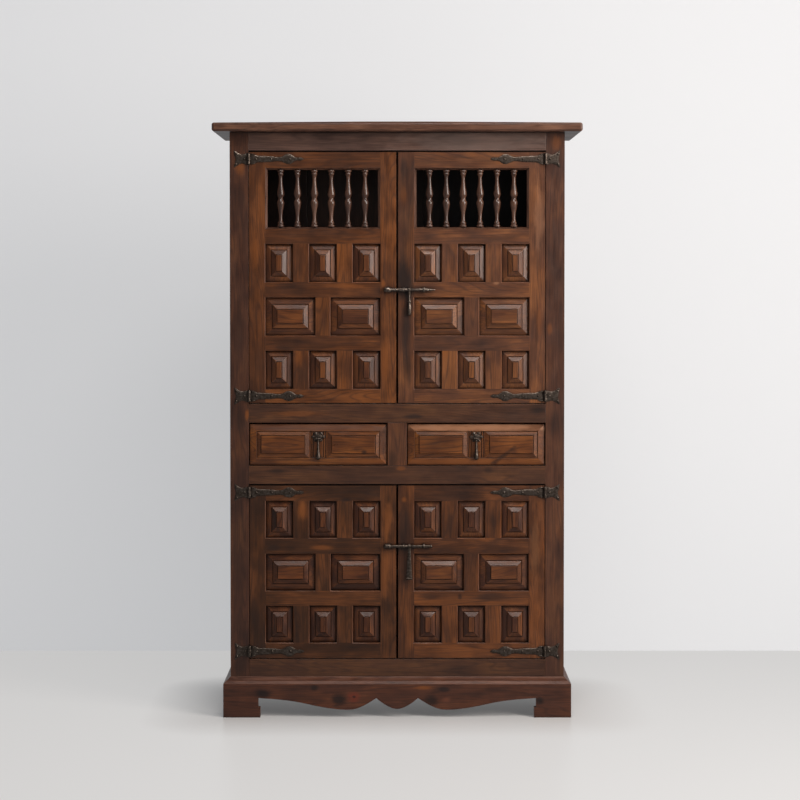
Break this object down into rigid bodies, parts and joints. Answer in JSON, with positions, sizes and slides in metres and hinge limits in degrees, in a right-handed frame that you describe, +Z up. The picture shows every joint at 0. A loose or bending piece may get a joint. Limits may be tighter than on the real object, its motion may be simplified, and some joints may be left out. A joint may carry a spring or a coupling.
{
  "type": "trastero cabinet",
  "caption": "Tall stained pine cupboard with panelled doors, a turned-spindle grille, drawers, forged strap hinges, sliding bolts and a scalloped plinth.",
  "frame": {"origin": "on the floor, under the middle of the whole cabinet's box", "axes": "+X to the right seen from the front, the front faces -Y, +Z up"},
  "size_m": [1.1, 0.45, 1.7799],
  "materials": {
    "carcass_pine": "pine, dark walnut stain, satin lacquer",
    "door_pine": "pine, walnut stain worn lighter at the arrises, satin lacquer",
    "panel_pine": "pine, walnut stain, satin lacquer",
    "spindle_pine": "turned pine, walnut stain, satin lacquer",
    "drawer_pine": "pine, lighter walnut stain, satin lacquer",
    "inside_pine": "pine, dark stain, dull",
    "forged_iron": "hand-forged iron, blackened, waxed"
  },
  "bodies": {
    "root": {"back_boards": "inside_pine", "bottom_rail": "carcass_pine", "door_stops": "inside_pine", "drawer_bottom_rail": "carcass_pine", "drawer_divider": "carcass_pine", "drawer_guides": "inside_pine", "drawer_top_rail": "carcass_pine", "floor_board": "inside_pine", "front_posts": "carcass_pine", "hinge_pins": "forged_iron", "hinge_plates": "forged_iron", "lower_deck": "inside_pine", "plinth_front": "carcass_pine", "plinth_sides": "carcass_pine", "rear_stiles": "carcass_pine", "shelf_cleats": "inside_pine", "shelves": "inside_pine", "side_panels": "carcass_pine", "side_rails": "carcass_pine", "top_board": "carcass_pine", "top_rail": "carcass_pine", "upper_deck": "inside_pine"},
    "left_drawer": {"left_drawer_box": "inside_pine", "left_drawer_front": "drawer_pine", "left_drawer_pull_plate": "forged_iron"},
    "left_drawer_pull": {"left_drawer_pull_drop": "forged_iron"},
    "lower_bolt_slider": {"lower_bolt": "forged_iron"},
    "lower_bolt_handle": {"lower_bolt_drop": "forged_iron"},
    "lower_left_door": {"lower_bolt_keeper": "forged_iron", "lower_left_door_hinge_straps": "forged_iron", "lower_left_door_muntins": "door_pine", "lower_left_door_panels": "panel_pine", "lower_left_door_rails": "door_pine", "lower_left_door_stiles": "door_pine"},
    "lower_right_door": {"lower_bolt_staples": "forged_iron", "lower_right_door_hinge_straps": "forged_iron", "lower_right_door_muntins": "door_pine", "lower_right_door_panels": "panel_pine", "lower_right_door_rails": "door_pine", "lower_right_door_stiles": "door_pine"},
    "right_drawer": {"right_drawer_box": "inside_pine", "right_drawer_front": "drawer_pine", "right_drawer_pull_plate": "forged_iron"},
    "right_drawer_pull": {"right_drawer_pull_drop": "forged_iron"},
    "upper_bolt_slider": {"upper_bolt": "forged_iron"},
    "upper_bolt_handle": {"upper_bolt_drop": "forged_iron"},
    "upper_left_door": {"upper_bolt_keeper": "forged_iron", "upper_left_door_grille": "spindle_pine", "upper_left_door_hinge_straps": "forged_iron", "upper_left_door_muntins": "door_pine", "upper_left_door_panels": "panel_pine", "upper_left_door_rails": "door_pine", "upper_left_door_stiles": "door_pine"},
    "upper_right_door": {"upper_bolt_staples": "forged_iron", "upper_right_door_grille": "spindle_pine", "upper_right_door_hinge_straps": "forged_iron", "upper_right_door_muntins": "door_pine", "upper_right_door_panels": "panel_pine", "upper_right_door_rails": "door_pine", "upper_right_door_stiles": "door_pine"}
  },
  "joints": [
    {"name": "upper_left_door_hinge", "type": "hinge", "parent": "root", "child": "upper_left_door", "pos_m": [-0.443, -0.1853, 1.317], "axis": [0, 0, -1], "range_deg": [0, 170]},
    {"name": "upper_right_door_hinge", "type": "hinge", "parent": "root", "child": "upper_right_door", "pos_m": [0.443, -0.1853, 1.317], "axis": [0, 0, 1], "range_deg": [0, 170]},
    {"name": "lower_left_door_hinge", "type": "hinge", "parent": "root", "child": "lower_left_door", "pos_m": [-0.443, -0.1853, 0.435], "axis": [0, 0, -1], "range_deg": [0, 170]},
    {"name": "lower_right_door_hinge", "type": "hinge", "parent": "root", "child": "lower_right_door", "pos_m": [0.443, -0.1853, 0.435], "axis": [0, 0, 1], "range_deg": [0, 170]},
    {"name": "left_drawer_slide", "type": "slide", "parent": "root", "child": "left_drawer", "axis": [0, -1, 0], "range_m": [0, 0.28]},
    {"name": "left_drawer_pull_swing", "type": "hinge", "parent": "left_drawer", "child": "left_drawer_pull", "pos_m": [-0.2365, -0.1864, 0.8355], "axis": [-1, 0, 0], "range_deg": [0, 100]},
    {"name": "right_drawer_slide", "type": "slide", "parent": "root", "child": "right_drawer", "axis": [0, -1, 0], "range_m": [0, 0.28]},
    {"name": "right_drawer_pull_swing", "type": "hinge", "parent": "right_drawer", "child": "right_drawer_pull", "pos_m": [0.2365, -0.1864, 0.8355], "axis": [-1, 0, 0], "range_deg": [0, 100]},
    {"name": "upper_bolt_slide", "type": "slide", "parent": "upper_right_door", "child": "upper_bolt_slider", "axis": [1, 0, 0], "range_m": [0, 0.035]},
    {"name": "upper_bolt_drop_swing", "type": "hinge", "parent": "upper_bolt_slider", "child": "upper_bolt_handle", "pos_m": [0.036, -0.189, 1.28083], "axis": [-1, 0, 0], "range_deg": [0, 100]},
    {"name": "lower_bolt_slide", "type": "slide", "parent": "lower_right_door", "child": "lower_bolt_slider", "axis": [1, 0, 0], "range_m": [0, 0.035]},
    {"name": "lower_bolt_drop_swing", "type": "hinge", "parent": "lower_bolt_slider", "child": "lower_bolt_handle", "pos_m": [0.036, -0.189, 0.51283], "axis": [-1, 0, 0], "range_deg": [0, 100]}
  ]
}
